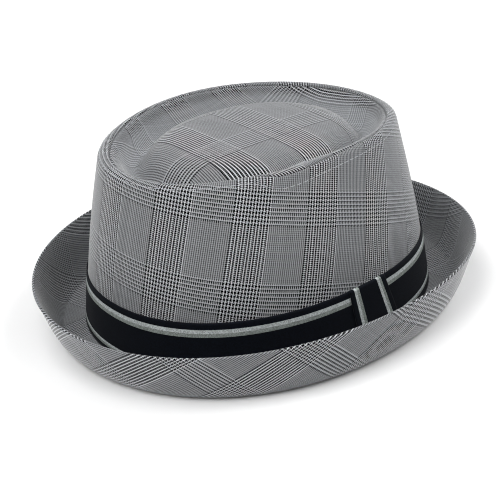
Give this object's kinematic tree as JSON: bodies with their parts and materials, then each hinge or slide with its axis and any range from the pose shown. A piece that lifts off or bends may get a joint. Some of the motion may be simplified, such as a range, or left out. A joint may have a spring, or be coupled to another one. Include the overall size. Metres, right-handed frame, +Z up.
{
  "type": "porkpie hat",
  "caption": "Checked-cloth porkpie hat: straight-sided hollow crown with a sunk domed top, short upturned brim, and a dark striped ribbon band with a keeper.",
  "frame": {"origin": "on the surface that the hat rests on, under the middle of the brim", "axes": "+Z up, +Y toward the back of the hat, +X toward the wearer's left, where the band's keeper is"},
  "size_m": [0.2364, 0.2786, 0.1095],
  "materials": {
    "checked_cloth": "grey glen check, black and off-white threads, twill, matt",
    "band_ribbon": "blue-black grosgrain with two pale grey stripes, soft sheen"
  },
  "bodies": {
    "root": {"crown_side": "checked_cloth", "crown_tip": "checked_cloth", "brim": "checked_cloth", "hat_band": "band_ribbon", "band_keeper": "band_ribbon"}
  },
  "joints": []
}
